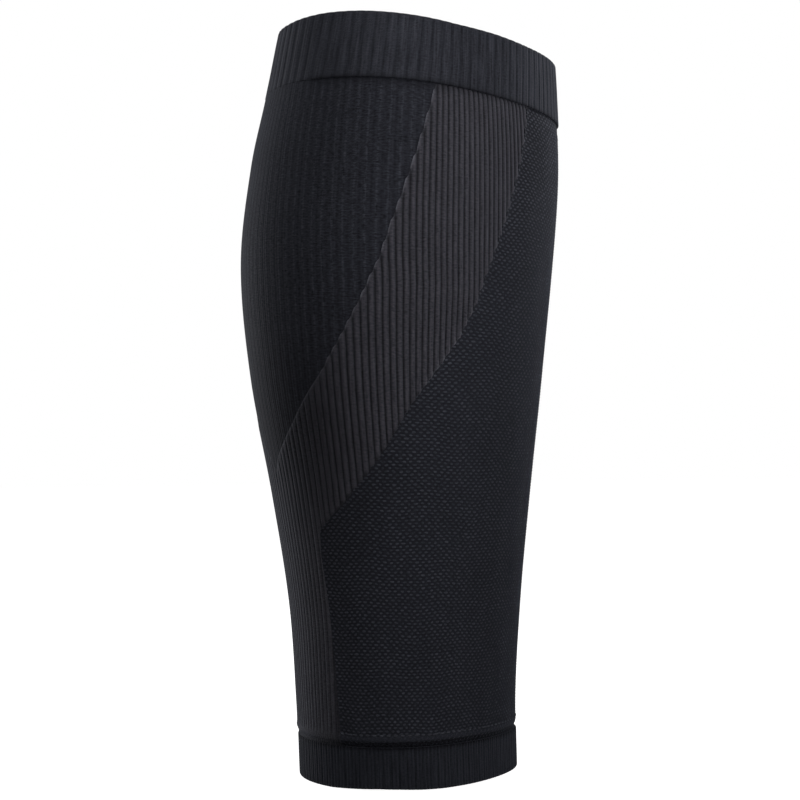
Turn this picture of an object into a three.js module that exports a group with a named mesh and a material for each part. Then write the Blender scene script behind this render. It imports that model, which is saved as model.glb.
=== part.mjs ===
// A knitted calf sleeve in the form it has on a lower leg. Millimetres, +Z up the leg.
// The shin faces -Y and the calf +Y. The origin is on the leg's axis, in the lower opening.
import * as THREE from "three";
import { mergeVertices } from "three/addons/utils/BufferGeometryUtils.js";

// Driving dimensions
const SLEEVE_HEIGHT = 300;
const TOP_CREASE = 273.9;
const BOTTOM_CREASE = 16.5;
const KNIT_WALL = 1.5;
const CUFF_PROUD = 0.6;
const FOLD_DEPTH = 0.7;
const PIECE_GAP = 0.3;

// Gap beside the band's edges, along the girth, wide enough for the slanted ones
const EDGE_GAP = 0.5;

// Each section leans: its level rises towards the calf by this share of the distance from the axis
const TOP_LEAN = 0.093;
const BOTTOM_LEAN = -0.018;

// Each section is wider behind the leg's axis than in front of it, by this share
const CALF_FULLNESS = 0.18;

// Outer face of the knit, one row for each section: how far it reaches from the axis
const SECTIONS = [
  { level: 0, back: 43.5, front: 48.5, side: 40.5 },
  { level: 30, back: 45, front: 48, side: 40.5 },
  { level: 70, back: 48, front: 50, side: 43.5 },
  { level: 115, back: 55.5, front: 53.9, side: 49 },
  { level: 160, back: 64.5, front: 58.4, side: 55 },
  { level: 205, back: 68.5, front: 62.9, side: 59 },
  { level: 245, back: 64, front: 66.7, side: 58 },
  { level: 272, back: 58, front: 67, side: 55.5 },
  { level: 300, back: 52, front: 65.5, side: 50 },
];

// Edges of the rib band on either side, as shares of the girth from the middle of the back.
// Below the fork the two arms are one strip.
const BAND_FORK = 122.2;
const BAND_EDGES = [
  { level: BOTTOM_CREASE, calf: 0, shin: 0.091 },
  { level: 60, calf: 0, shin: 0.082 },
  { level: 100, calf: 0, shin: 0.079 },
  { level: BAND_FORK, calf: 0, shin: 0.151 },
  { level: 135, calf: 0.038, shin: 0.18 },
  { level: 150, calf: 0.081, shin: 0.207 },
  { level: 161, calf: 0.109, shin: 0.23 },
  { level: 176, calf: 0.136, shin: 0.26 },
  { level: 205, calf: 0.174, shin: 0.294 },
  { level: 225, calf: 0.188, shin: 0.314 },
  { level: 248, calf: 0.203, shin: 0.333 },
  { level: TOP_CREASE, calf: 0.217, shin: 0.35 },
];

// The calf panel's blunt point lies this far above the fork
const POINT_CLEAR = 1.2;

// Finish of each knit
const FINISHES = {
  cuffRib: { color: 0x2c2d32, roughness: 0.9, metalness: 0 },
  fineRib: { color: 0x2a2a2e, roughness: 0.9, metalness: 0 },
  boldRib: { color: 0x3a3a3b, roughness: 0.85, metalness: 0 },
  dottedMesh: { color: 0x28282c, roughness: 0.9, metalness: 0 },
};

// Fineness of the facets
const CUFF_COLUMNS = 60;
const CALF_COLUMNS = 14;
const ARM_COLUMNS = 5;
const SHIN_COLUMNS = 30;
const LEVEL_STEP = 13;
const ROUND_STEPS = 4;
const ANGLE_STEPS = 90;

// The rows on either side of a level, and how far between them it lies
function rowsAround(rows, level) {
  let upper = rows.findIndex((row) => row.level > level);
  if (upper < 1) {
    upper = upper === 0 ? 1 : rows.length - 1;
  }
  const below = rows[upper - 1];
  const above = rows[upper];
  return { upper, below, above, part: (level - below.level) / (above.level - below.level) };
}

// Rate of change of a column at a row, taken across its neighbours
function rateAt(rows, index, column) {
  const before = rows[Math.max(index - 1, 0)];
  const after = rows[Math.min(index + 1, rows.length - 1)];
  return (after[column] - before[column]) / (after.level - before.level);
}

// Smooth reading of a column of SECTIONS between its rows
function sectionReach(level, column) {
  const { upper, below, above, part } = rowsAround(SECTIONS, level);
  const span = above.level - below.level;
  const rise = above[column] - below[column];
  const leave = rateAt(SECTIONS, upper - 1, column) * span;
  const arrive = rateAt(SECTIONS, upper, column) * span;
  const bend = (leave - rise) * (1 - part) + (rise - arrive) * part;
  return below[column] + rise * part + part * (1 - part) * bend;
}

// Straight reading of a column of BAND_EDGES between its rows
function bandEdge(level, column) {
  const { below, above, part } = rowsAround(BAND_EDGES, level);
  return THREE.MathUtils.lerp(below[column], above[column], part);
}

// Outline of the section at a level, by the angle from the back towards the wearer's right, -X
function sectionOutline(level) {
  const back = sectionReach(level, "back");
  const front = sectionReach(level, "front");
  const side = sectionReach(level, "side");
  return (angle) => {
    const aft = Math.cos(angle);
    const across = side * Math.sin(angle) * (1 + CALF_FULLNESS * aft);
    return new THREE.Vector2(-across, aft * (aft > 0 ? back : front));
  };
}

// Lengths along the right half of an outline, from the middle of the back to the shin
function halfGirths(outline) {
  const lengths = [0];
  for (let step = 1; step <= ANGLE_STEPS; step += 1) {
    const from = outline(((step - 1) * Math.PI) / ANGLE_STEPS);
    const to = outline((step * Math.PI) / ANGLE_STEPS);
    lengths.push(lengths[step - 1] + from.distanceTo(to));
  }
  return lengths;
}

// Angle at which a share of the girth, from the middle of the back, is reached
function angleAtShare(outline, share) {
  const turned = share > 0.5 ? share - 1 : share;
  const lengths = halfGirths(outline);
  const wanted = Math.abs(turned) * 2 * lengths[ANGLE_STEPS];
  const found = lengths.findIndex((length) => length >= wanted);
  const step = Math.max(found < 0 ? ANGLE_STEPS : found, 1);
  const part = (wanted - lengths[step - 1]) / (lengths[step] - lengths[step - 1]);
  return (Math.sign(turned) * (step - 1 + part) * Math.PI) / ANGLE_STEPS;
}

// Point of the wall at a level and share of the girth, offset outwards from the knit's outer face
function wallPoint(level, share, offset) {
  const outline = sectionOutline(level);
  const angle = angleAtShare(outline, share);
  const spot = outline(angle);
  const nudge = Math.PI / ANGLE_STEPS;
  const along = outline(angle + nudge).sub(outline(angle - nudge)).normalize();
  const lean = THREE.MathUtils.lerp(BOTTOM_LEAN, TOP_LEAN, level / SLEEVE_HEIGHT);
  return [spot.x + along.y * offset, spot.y - along.x * offset, level + lean * spot.y];
}

// The gap beside an edge of the band, as a share of the girth at a level
function gapShare(level) {
  const lengths = halfGirths(sectionOutline(level));
  return EDGE_GAP / (2 * lengths[ANGLE_STEPS]);
}

// Closed mesh of corner triples, with shared corners welded and empty triangles dropped
function weldedGeometry(points, triangles) {
  const loose = new THREE.BufferGeometry();
  loose.setAttribute("position", new THREE.Float32BufferAttribute(points.flat(), 3));
  loose.setIndex(triangles.flat());
  const welded = mergeVertices(loose);
  const kept = [];
  const index = welded.getIndex();
  for (let first = 0; first < index.count; first += 3) {
    const [a, b, c] = [index.getX(first), index.getX(first + 1), index.getX(first + 2)];
    if (a !== b && b !== c && c !== a) {
      kept.push(a, b, c);
    }
  }
  welded.setIndex(kept);
  welded.computeVertexNormals();
  return welded;
}

// Wall of knit over the filled cells of a grid of levels by shares of the girth
function panelGeometry(levels, sharesAt, filled) {
  const points = [];
  for (const offset of [0, -KNIT_WALL]) {
    for (const level of levels) {
      for (const share of sharesAt(level)) {
        points.push(wallPoint(level, share, offset));
      }
    }
  }
  const columns = sharesAt(levels[0]).length;
  const inward = levels.length * columns;
  const triangles = [];
  const quad = (a, b, c, d) => triangles.push([a, b, c], [a, c, d]);
  const isFilled = (row, column) =>
    row >= 0 && row < levels.length - 1 && column >= 0 && column < columns - 1 && filled(row, column);
  for (let row = 0; row < levels.length - 1; row += 1) {
    for (let column = 0; column < columns - 1; column += 1) {
      if (isFilled(row, column)) {
        const a = row * columns + column;
        const [b, c, d] = [a + 1, a + columns + 1, a + columns];
        quad(a, b, c, d);
        quad(a + inward, d + inward, c + inward, b + inward);
        const rims = [
          [isFilled(row - 1, column), b, a],
          [isFilled(row + 1, column), d, c],
          [isFilled(row, column - 1), a, d],
          [isFilled(row, column + 1), c, b],
        ];
        for (const [joined, from, to] of rims) {
          if (!joined) {
            quad(from, to, to + inward, from + inward);
          }
        }
      }
    }
  }
  return weldedGeometry(points, triangles);
}

// Closed ring of a cuff from its profile of [level, offset], up the outside and down the inside
function cuffGeometry(profile) {
  const points = [];
  const triangles = [];
  profile.forEach(([level, offset], row) => {
    const nextRow = (row + 1) % profile.length;
    for (let column = 0; column < CUFF_COLUMNS; column += 1) {
      points.push(wallPoint(level, column / CUFF_COLUMNS, offset));
      const nextColumn = (column + 1) % CUFF_COLUMNS;
      const a = row * CUFF_COLUMNS + column;
      const b = row * CUFF_COLUMNS + nextColumn;
      const c = nextRow * CUFF_COLUMNS + nextColumn;
      const d = nextRow * CUFF_COLUMNS + column;
      triangles.push([a, b, c], [a, c, d]);
    }
  });
  return weldedGeometry(points, triangles);
}

// Profile of a doubled cuff whose folded edge is round, from the seam level to the fold level
function cuffProfile(seam, fold) {
  const radius = (KNIT_WALL + CUFF_PROUD) / 2;
  const middle = CUFF_PROUD - radius;
  const depth = FOLD_DEPTH * Math.sign(fold - seam);
  const half = (fold - depth + seam) / 2;
  const profile = [[seam, CUFF_PROUD], [half, CUFF_PROUD]];
  for (let step = 0; step <= ROUND_STEPS; step += 1) {
    const turn = (Math.PI * step) / ROUND_STEPS;
    profile.push([fold + depth * (Math.sin(turn) - 1), middle + radius * Math.cos(turn)]);
  }
  profile.push([half, -KNIT_WALL], [seam, -KNIT_WALL]);
  return depth > 0 ? profile : profile.reverse();
}

// Even levels from one height to another, with every row of BAND_EDGES between them
function panelLevels(from, to) {
  const marks = [from, ...BAND_EDGES.map((row) => row.level).filter((at) => at > from && at < to), to];
  const levels = [from];
  for (let mark = 1; mark < marks.length; mark += 1) {
    const steps = Math.ceil((marks[mark] - marks[mark - 1]) / LEVEL_STEP);
    for (let step = 1; step <= steps; step += 1) {
      levels.push(THREE.MathUtils.lerp(marks[mark - 1], marks[mark], step / steps));
    }
  }
  return levels;
}

// Even shares of the girth from one to another
function evenShares(from, to, columns) {
  const steps = [...Array(columns + 1).keys()];
  return steps.map((column) => THREE.MathUtils.lerp(from, to, column / columns));
}

const panelFoot = BOTTOM_CREASE + PIECE_GAP / 2;
const panelHead = TOP_CREASE - PIECE_GAP / 2;
const fullHeight = panelLevels(panelFoot, panelHead);

// Shield of fine rib over the calf, its blunt point just clear of the fork of the band
function calfPanel() {
  const levels = panelLevels(BAND_FORK + POINT_CLEAR, panelHead);
  const sharesAt = (level) => {
    const reach = bandEdge(level, "calf") - gapShare(level);
    return evenShares(-reach, reach, CALF_COLUMNS);
  };
  return panelGeometry(levels, sharesAt, () => true);
}

// Two arms of bold rib that meet at the fork and go down the back as one strip
function ribBand() {
  const sharesAt = (level) => {
    const outer = bandEdge(level, "shin");
    const inner = bandEdge(level, "calf");
    return [...evenShares(-outer, -inner, ARM_COLUMNS), ...evenShares(inner, outer, ARM_COLUMNS)];
  };
  const filled = (row, column) => column !== ARM_COLUMNS || fullHeight[row + 1] <= BAND_FORK;
  return panelGeometry(fullHeight, sharesAt, filled);
}

// Mesh knit round the shin, from one edge of the band to the other
function shinPanel() {
  const sharesAt = (level) => {
    const edge = bandEdge(level, "shin") + gapShare(level);
    return evenShares(edge, 1 - edge, SHIN_COLUMNS);
  };
  return panelGeometry(fullHeight, sharesAt, () => true);
}

function namedPiece(name, geometry, finish) {
  const piece = new THREE.Mesh(geometry, new THREE.MeshStandardMaterial(finish));
  piece.name = name;
  return piece;
}

const topCuff = cuffGeometry(cuffProfile(TOP_CREASE + PIECE_GAP / 2, SLEEVE_HEIGHT));
const bottomCuff = cuffGeometry(cuffProfile(BOTTOM_CREASE - PIECE_GAP / 2, 0));

const calfSleeve = new THREE.Group();
calfSleeve.add(
  namedPiece("top_cuff", topCuff, FINISHES.cuffRib),
  namedPiece("calf_panel", calfPanel(), FINISHES.fineRib),
  namedPiece("rib_band", ribBand(), FINISHES.boldRib),
  namedPiece("shin_panel", shinPanel(), FINISHES.dottedMesh),
  namedPiece("bottom_cuff", bottomCuff, FINISHES.cuffRib),
);

export default calfSleeve;
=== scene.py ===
import math
import bmesh
import bpy
import numpy as np
from mathutils import Matrix, Vector


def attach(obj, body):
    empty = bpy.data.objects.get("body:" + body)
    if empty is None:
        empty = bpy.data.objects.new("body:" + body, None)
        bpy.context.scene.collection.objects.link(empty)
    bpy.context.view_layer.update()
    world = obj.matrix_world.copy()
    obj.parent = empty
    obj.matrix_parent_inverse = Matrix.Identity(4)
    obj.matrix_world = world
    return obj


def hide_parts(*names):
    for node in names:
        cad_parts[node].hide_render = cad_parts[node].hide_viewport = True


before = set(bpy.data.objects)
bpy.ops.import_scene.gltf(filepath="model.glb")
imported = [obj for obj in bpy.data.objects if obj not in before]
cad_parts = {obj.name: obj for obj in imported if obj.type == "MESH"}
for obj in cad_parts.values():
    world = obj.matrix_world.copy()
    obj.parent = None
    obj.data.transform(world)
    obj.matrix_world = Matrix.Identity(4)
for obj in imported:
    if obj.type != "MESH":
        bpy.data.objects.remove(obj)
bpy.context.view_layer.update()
scene = bpy.context.scene
print("frame loaded with", len(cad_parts), "nodes")

# camera at the photograph's viewing angle
photoView = {
    "eye": (-0.7201, 0.3124, 0.1400),
    "heading": -23.27,  # degrees from +X
    "pitch": 0.965,
    "lens": 85.03,
    "sensor": 36.0,
    "nearest": 0.01,
}


def makeCamera():
    data = bpy.data.cameras.new("photoCamera")
    data.sensor_width = photoView["sensor"]
    data.lens = photoView["lens"]
    data.clip_start = photoView["nearest"]
    camera = bpy.data.objects.new("photoCamera", data)
    scene.collection.objects.link(camera)
    heading = math.radians(photoView["heading"])
    pitch = math.radians(photoView["pitch"])
    flat = math.cos(pitch)
    look = Vector((flat * math.cos(heading), flat * math.sin(heading), math.sin(pitch)))
    camera.location = photoView["eye"]
    camera.rotation_euler = look.to_track_quat("-Z", "Y").to_euler()
    scene.camera = camera


makeCamera()
print("camera set")

# the leg that the sleeve is shaped to, in egg sections
legForm = {
    "height": 0.300,  # between the rims, on the leg's axis
    "bottomLean": -0.018,  # slope of the sections from shin to calf at the lower rim
    "topLean": 0.093,
    "calfFullness": 0.18,  # how far the widest part sits towards the calf
    "outlineSteps": 361,
    "levelDigits": 6,  # points whose levels agree this far share a section
    # level, reach to the calf, reach to the shin, reach to each side
    "sections": [
        (0.000, 0.0435, 0.0485, 0.0405),
        (0.030, 0.0450, 0.0480, 0.0405),
        (0.070, 0.0480, 0.0500, 0.0435),
        (0.115, 0.0555, 0.0539, 0.0490),
        (0.160, 0.0645, 0.0584, 0.0550),
        (0.205, 0.0685, 0.0629, 0.0590),
        (0.245, 0.0640, 0.0667, 0.0580),
        (0.272, 0.0580, 0.0670, 0.0555),
        (0.300, 0.0520, 0.0655, 0.0500),
    ],
}


def reachAt(level):
    # reaches to calf, shin and side on a smooth curve through the sections
    table = np.array(legForm["sections"])
    stops, values = table[:, 0], table[:, 1:]
    last = len(stops) - 1
    ahead = np.minimum(np.arange(last + 1) + 1, last)
    behind = np.maximum(np.arange(last + 1) - 1, 0)
    slopes = (values[ahead] - values[behind]) / (stops[ahead] - stops[behind])[:, None]
    row = min(max(int(np.searchsorted(stops, level, side="right")) - 1, 0), last - 1)
    span = stops[row + 1] - stops[row]
    t = (level - stops[row]) / span
    rise = values[row + 1] - values[row]
    leave = slopes[row] * span - rise
    arrive = rise - slopes[row + 1] * span
    return values[row] + rise * t + t * (1 - t) * (leave * (1 - t) + arrive * t)


def onLeg(share, level, proud):
    # points at a share of the girth from the centre back, a level up the leg and a height off its surface
    points = np.empty((len(share), 3))
    angle = np.linspace(0, math.pi, legForm["outlineSteps"])
    aft = np.cos(angle)
    levels = np.round(level, legForm["levelDigits"])
    for height in np.unique(levels):
        here = levels == height
        calf, shin, side = reachAt(height)
        x = -side * np.sin(angle) * (1 + legForm["calfFullness"] * aft)
        y = aft * np.where(aft > 0, calf, shin)
        alongX, alongY = np.gradient(x), np.gradient(y)
        length = np.hypot(alongX, alongY)
        run = np.concatenate([[0], np.cumsum(np.hypot(np.diff(x), np.diff(y)))])
        run = run / run[-1] / 2
        turned = (share[here] + 0.5) % 1 - 0.5
        mirrored = np.where(turned < 0, -1, 1)
        outX = np.interp(abs(turned), run, x) + proud[here] * np.interp(abs(turned), run, alongY / length)
        outY = np.interp(abs(turned), run, y) - proud[here] * np.interp(abs(turned), run, alongX / length)
        upward = height / legForm["height"]
        lean = legForm["bottomLean"] + (legForm["topLean"] - legForm["bottomLean"]) * upward
        points[here] = np.column_stack([outX * mirrored, outY, height + lean * outY])
    return points


# how the tube is knitted: rows up it, mesh dots round it, and the borders of its zones
knit = {
    "dots": 120,  # mesh dots in one row
    "row": 0.00125,
    "girth": 0.36,  # width of the whole tube while a zone lies flat
    "wall": 0.0015,
    "gap": 0.000001,  # half of the parting between two zones
    "near": 0.0000075,  # points closer than this are one
    "topCrease": 0.2739,
    "bottomCrease": 0.0165,
    "creaseGap": 0.00003,
    "tuck": 0.0050,  # height of the finer rows where a panel runs into a crease
    "tuckRows": 11,
    "fork": 0.1222,  # tip of the calf panel
    "armFoot": 0.1015,  # where the outer edges of the arms run into the strip
    "stepFrom": 0.1600,  # level above which the calf border steps from rib to rib
    "lineTop": 0.165,  # level up to which the border of the calf panel is one whole line
    "lineFade": 0.015,  # height over which rib tips take its place
    "endFade": 0.02,  # height over which the shade at the ribs' lower ends fades out
    "calfStep": 0.22,  # share of a whole step from rib to rib
    "shinStep": 0.28,
    # level, calf border and shin border as shares of the girth from the centre back
    "borders": [
        (0.0165, 0.000, 0.091),
        (0.0400, 0.000, 0.087),
        (0.0600, 0.000, 0.082),
        (0.0900, 0.000, 0.076),
        (0.1000, 0.000, 0.079),
        (0.1120, 0.000, 0.122),
        (0.1222, 0.000, 0.151),
        (0.1280, 0.013, 0.165),
        (0.1346, 0.037, 0.179),
        (0.1415, 0.059, 0.192),
        (0.1500, 0.081, 0.207),
        (0.1610, 0.109, 0.230),
        (0.1760, 0.136, 0.260),
        (0.1890, 0.155, 0.278),
        (0.2050, 0.174, 0.294),
        (0.2250, 0.188, 0.314),
        (0.2480, 0.203, 0.333),
        (0.2739, 0.217, 0.350),
    ],
    # share of the girth from the centre back, and the band's ribs per whole girth there
    "bandRibs": [(0, 120), (0.07, 124), (0.14, 124), (0.18, 142), (0.21, 153), (0.25, 159), (0.5, 156)],
    # share of the girth, and how far the panels' ribs lean round the leg for each metre above the pivot
    "panelLean": [(0, 0), (0.04, -0.16), (0.5, -0.16)],
    "leanPivot": 0.195,
    "spreadSteps": 1001,
    "sharpAngle": 1.3,  # radians, past which an edge is shaded sharp
}
borders = np.array(knit["borders"])
meshBase = knit["bottomCrease"] + knit["tuck"]  # level of the lowest row of dots


def ribSpread(densities, lean, pivot):
    # ribs counted round from the centre back, from ribs per whole girth at a few shares of it
    table = np.array(densities)
    shares = np.linspace(0, 0.5, knit["spreadSteps"])
    density = np.interp(shares, table[:, 0], table[:, 1])
    count = np.concatenate([[0], np.cumsum((density[1:] + density[:-1]) / 2 * np.diff(shares))])
    half = 2 * round(count[-1] / 2)
    leans = np.interp(shares, *np.array(lean).T)
    count = count * half / count[-1]
    return {"shares": shares, "count": count, "ribs": 2 * half, "lean": leans, "pivot": pivot}


def ribPlace(spread, count, level):
    # shares of the girth at counts of ribs
    share = np.interp(np.abs(count), spread["count"], spread["shares"])
    lean = np.interp(share, spread["shares"], spread["lean"])
    return np.sign(count) * (share + lean * np.maximum(level - spread["pivot"], 0))


def ribCounts(spread, shares, levels):
    # counts of ribs at shares of the girth
    counts = []
    for share, level in zip(shares, levels):
        places = spread["shares"] + spread["lean"] * max(level - spread["pivot"], 0)
        counts.append(np.interp(share, places, spread["count"]))
    return np.array(counts)


bandSpread = ribSpread(knit["bandRibs"], knit["panelLean"], knit["leanPivot"])


def calfBorder(level):
    return np.interp(level, borders[:, 0], borders[:, 1])


def shinBorder(level):
    return np.interp(level, borders[:, 0], borders[:, 2])


def steppedBorder(levels, border, start, part):
    # beside an arm a border steps from groove to groove, because each rib ends in a tip
    rows, back = np.unique(levels, return_inverse=True)
    smooth = border(rows)
    stepped = ribPlace(bandSpread, np.round(ribCounts(bandSpread, smooth, rows)), rows)
    return (smooth + np.where(rows > start, part * (stepped - smooth), 0))[back]


def calfSide(levels):
    return steppedBorder(levels, calfBorder, knit["stepFrom"], knit["calfStep"])


def shinSide(levels):
    return steppedBorder(levels, shinBorder, knit["armFoot"], knit["shinStep"])


def panelRows(lowest):
    bottom = knit["bottomCrease"] + knit["creaseGap"]
    top = knit["topCrease"] - knit["creaseGap"]
    count = int((top - knit["tuck"] - meshBase) / knit["row"])
    rows = meshBase + knit["row"] * np.arange(count + 1)
    foot = np.linspace(bottom, meshBase, knit["tuckRows"], endpoint=False)
    head = np.linspace(rows[-1], top, knit["tuckRows"] + 1)[1:]
    rows = np.concatenate([foot, rows, head])
    return np.concatenate([[lowest], rows[rows > lowest + knit["near"]]]) if lowest > bottom else rows


def ribColumns(low, high, phases):
    # counts of ribs, with the same uneven columns on every rib
    first, last = math.floor(low), math.ceil(high)
    counts = (np.arange(first, last)[:, None] + np.array(phases)[None, :]).ravel()
    return np.append(counts, last)


def flatSheet(columns, rows, low, high, whole):
    # a grid of columns and rows lying flat, drawn in to the zone's borders on each row
    bm = bmesh.new()
    across, up = len(columns) - 1, len(rows) - 1
    bmesh.ops.create_grid(bm, x_segments=across, y_segments=up, size=1)
    for vert in bm.verts:
        row = round((vert.co.y + 1) / 2 * up)
        column = columns[round((vert.co.x + 1) / 2 * across)]
        vert.co = (min(max(column, low[row]), high[row]) / whole * knit["girth"], rows[row], 0)
    bmesh.ops.remove_doubles(bm, verts=bm.verts, dist=knit["near"])
    bmesh.ops.dissolve_degenerate(bm, edges=bm.edges, dist=knit["near"] / 2)
    loose = [edge for edge in bm.edges if not edge.link_faces]
    bmesh.ops.delete(bm, geom=loose, context="EDGES")
    return bm


def thicken(bm, inner, outer):
    # the flat sheet becomes a wall, with its inner face at one height and its outer face at the other
    bmesh.ops.recalc_face_normals(bm, faces=bm.faces)
    bmesh.ops.translate(bm, verts=bm.verts, vec=(0, 0, inner))
    grown = bmesh.ops.extrude_face_region(bm, geom=bm.faces[:])
    lifted = [item for item in grown["geom"] if isinstance(item, bmesh.types.BMVert)]
    bmesh.ops.translate(bm, verts=lifted, vec=(0, 0, outer - inner))
    bmesh.ops.recalc_face_normals(bm, faces=bm.faces)


def layKnitMap(bm, wobble=None):
    # share of all the ribs, or of the girth, and share of the height, for patterns that follow the knit
    layer = bm.loops.layers.uv.new("knit")
    for vert in bm.verts:
        across, level = vert.co.x / knit["girth"], vert.co.y
        if wobble:
            level = level + wobble(across, level)
        for loop in vert.link_loops:
            loop[layer].uv = (across, level / legForm["height"])


def wrapOnLeg(bm, inner, outer, relief, marks, spread=None, hang=None):
    # the flat wall goes round the leg, with the relief full on its outer face and none on its inner one
    flat = np.array([vert.co[:] for vert in bm.verts])
    at = {"share": flat[:, 0] / knit["girth"], "level": flat[:, 1]}
    if spread:
        at["count"] = at["share"] * spread["ribs"]
        at["share"] = ribPlace(spread, at["count"], at["level"])
    outerness = np.clip((flat[:, 2] - inner) / (outer - inner), 0, 1)
    level = at["level"] + hang(at) if hang else at["level"]
    points = onLeg(at["share"], level, flat[:, 2] + outerness * relief(at))
    for name, rule in marks.items():
        layer = bm.verts.layers.float.new(name)
        for vert, value in zip(bm.verts, rule(at)):
            vert[layer] = value
    for vert, point in zip(bm.verts, points):
        vert.co = point


def knitPiece(bm, name, material, node):
    for face in bm.faces:
        face.smooth = True
    for edge in bm.edges:
        if edge.is_manifold and edge.calc_face_angle() > knit["sharpAngle"]:
            edge.smooth = False
    volume = bm.calc_volume(signed=True)
    openEdges = sum(not edge.is_manifold for edge in bm.edges)
    mesh = bpy.data.meshes.new(name)
    bm.to_mesh(mesh)
    area = sum(face.calc_area() for face in bm.faces)
    triangles = sum(len(face.verts) - 2 for face in bm.faces)
    bm.free()
    piece = bpy.data.objects.new(name, mesh)
    scene.collection.objects.link(piece)
    mesh.materials.append(material)
    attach(piece, "root")
    if node:
        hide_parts(node)
    print(name, "triangles", triangles, "volume cm3", round(volume * 1e6, 2), "open edges", openEdges,
          "half surface m2", round(area / 2, 5))
    return piece


def smoothRise(values, low, high):
    t = np.clip((values - low) / (high - low), 0, 1)
    return t * t * (3 - 2 * t)


def ribWave(count, power):
    # 0 in the grooves and 1 along the ridges
    return np.abs(np.sin(math.pi * count)) ** power


# the creases beside the cuffs, and painted shade in them, round the tip of the calf panel and round the
# shin
crease = {
    "topDepth": 0.0002,
    "topReach": 0.0016,
    # topDark, topFade, bottomDark, bottomFull and cuffFade shape the painted shade in the creases
    "topDark": 0.46,
    "topFade": 0.0024,
    "backFrom": 0.04,  # the upper crease closes up towards the centre back, between these shares
    "backTo": 0.09,
    "bottomDepth": 0.0005,
    "bottomReach": 0.0028,
    "bottomSteep": 3,  # the tuck is full at the reach divided by this
    "bottomDark": 0.72,
    "bottomFull": 0.0018,
    "cuffFade": {"top": 0.0012, "bottom": 0.0010},
    "bead": 0.00025,  # the smooth roll above the lower crease
    "beadLevel": 0.0201,
    "beadWidth": 0.0008,
    "forkLevel": 0.139,  # painted shade round the tip of the calf panel
    "forkHeight": 0.036,
    "forkFrom": 0.06,
    "forkTo": 0.195,
    "forkDark": 0.60,
    "shinFrom": 0.25,  # painted shade: the band and the mesh are painted darker round the shin, from this share on
    "shinTo": 0.33,
    "shinDark": 0.15,
}


def aroundBack(share):
    return np.abs((share + 0.5) % 1 - 0.5)


def creaseOpen(at):
    return smoothRise(aroundBack(at["share"]), crease["backFrom"], crease["backTo"])


def creaseTuck(at):
    level = at["level"]
    top = smoothRise(level, knit["topCrease"] - crease["topReach"], knit["topCrease"]) * creaseOpen(at)
    full = -crease["bottomReach"] / crease["bottomSteep"]
    bottom = smoothRise(knit["bottomCrease"] - level, -crease["bottomReach"], full)
    bead = np.exp(-((level - crease["beadLevel"]) / crease["beadWidth"]) ** 2)
    return crease["bead"] * bead - crease["topDepth"] * top - crease["bottomDepth"] * bottom


def creaseShade(at):
    # painted shade: share of the yarn's brightness taken off in and beside the creases, and round the tip
    # of the calf panel
    above = at["level"] - knit["topCrease"]
    fade = np.where(above > 0, crease["cuffFade"]["top"], crease["topFade"])
    top = np.exp(-(above / fade) ** 2) * creaseOpen(at)
    rise = at["level"] - knit["bottomCrease"]
    bottom = np.where(rise > 0, smoothRise(-rise, -crease["bottomReach"], -crease["bottomFull"]),
                      np.exp(-(rise / crease["cuffFade"]["bottom"]) ** 2))
    fork = np.exp(-((at["level"] - crease["forkLevel"]) / crease["forkHeight"]) ** 2)
    fork = fork * (1 - smoothRise(aroundBack(at["share"]), crease["forkFrom"], crease["forkTo"]))
    ends = np.maximum(crease["topDark"] * top, crease["bottomDark"] * bottom)
    return np.maximum(ends, crease["forkDark"] * fork)


# painted shade round the shin, on top of the painted shade of the creases
def shinShade(at):
    shin = smoothRise(aroundBack(at["share"]), crease["shinFrom"], crease["shinTo"])
    return np.maximum(creaseShade(at), crease["shinDark"] * shin)


# nodes
def addNode(tree, kind, inputs=None, **settings):
    node = tree.nodes.new("ShaderNode" + kind)
    for name, value in settings.items():
        setattr(node, name, value)
    for socket, value in (inputs or {}).items():
        if isinstance(value, bpy.types.NodeSocket):
            tree.links.new(value, node.inputs[socket])
        else:
            node.inputs[socket].default_value = value
    return node


def mathNode(tree, operation, first, second=0.0):
    return addNode(tree, "Math", {0: first, 1: second}, operation=operation).outputs[0]


def scaledSum(tree, value, factor, extra):
    return addNode(tree, "Math", {0: value, 1: factor, 2: extra}, operation="MULTIPLY_ADD").outputs[0]


def mixColour(tree, factor, first, second):
    return addNode(tree, "Mix", {0: factor, 6: first, 7: second}, data_type="RGBA").outputs[2]


def risingMask(tree, value, low, high):
    ranges = {"Value": value, "From Min": low, "From Max": high}
    return addNode(tree, "MapRange", ranges, interpolation_type="SMOOTHSTEP").outputs[0]


def addGroup(tree, group, inputs):
    return addNode(tree, "Group", inputs, node_tree=group).outputs


def startGroup(name, inputs, outputs):
    group = bpy.data.node_groups.new(name, "ShaderNodeTree")
    for label, kind in inputs.items():
        group.interface.new_socket(label, in_out="INPUT", socket_type="NodeSocket" + kind)
    for label, kind in outputs.items():
        group.interface.new_socket(label, in_out="OUTPUT", socket_type="NodeSocket" + kind)
    return group, group.nodes.new("NodeGroupInput").outputs, group.nodes.new("NodeGroupOutput").inputs


# what all the yarn has in common
yarn = {
    "slant": 1.3,  # how far the legs of a stitch lean, in stitches
    "loopLow": 0.1,
    "loopHigh": 0.9,
    "rowStretch": 0.7,
    "patchDetail": 3.0,
    "hairDetail": 2.0,
    "spotFrom": 0.3,  # the painted shade of a crease darkens the yarn unevenly, between these tones and by these shares
    "spotTo": 0.7,
    "spotLeast": 0.55,
    "spotMost": 1.35,
    "darkest": 0.2,
    "sheenRoughness": 0.45,
    "sheenTint": (0.77, 0.81, 1.0, 1.0),
}


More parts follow.
